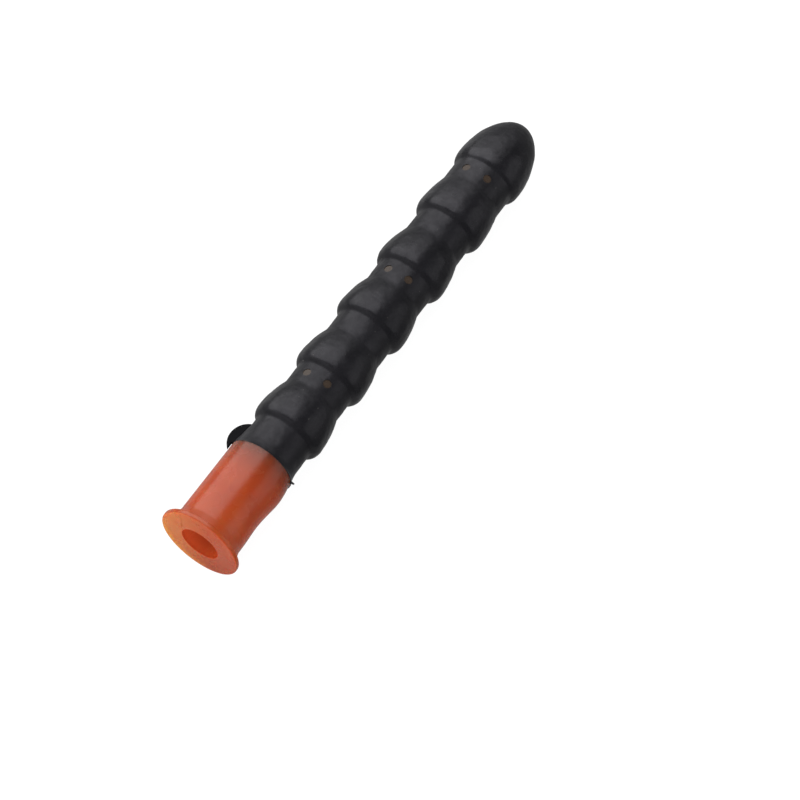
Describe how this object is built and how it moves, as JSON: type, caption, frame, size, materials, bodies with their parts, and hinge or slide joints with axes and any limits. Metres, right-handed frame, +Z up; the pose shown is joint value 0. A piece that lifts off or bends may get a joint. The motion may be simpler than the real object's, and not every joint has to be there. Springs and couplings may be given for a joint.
{
  "type": "aerated concrete plug",
  "caption": "Long plastic wall plug: a flanged orange sleeve with a blind screw bore, and a black body with rounded ribs and a blunt nose moulded over it.",
  "frame": {"origin": "on the surface that the plug lies on, under the middle of its length", "axes": "+X along the plug from the mouth to the nose, +Z up, and +Y to the side of the sprue tab"},
  "size_m": [0.1, 0.0152, 0.0149],
  "materials": {
    "orange_plastic": "waxy, slightly translucent orange polyamide with a satin sheen",
    "black_plastic": "satin black polyamide with a faint moulded grain"
  },
  "bodies": {
    "root": {"inner_sleeve": "orange_plastic", "outer_body": "black_plastic"}
  },
  "joints": []
}
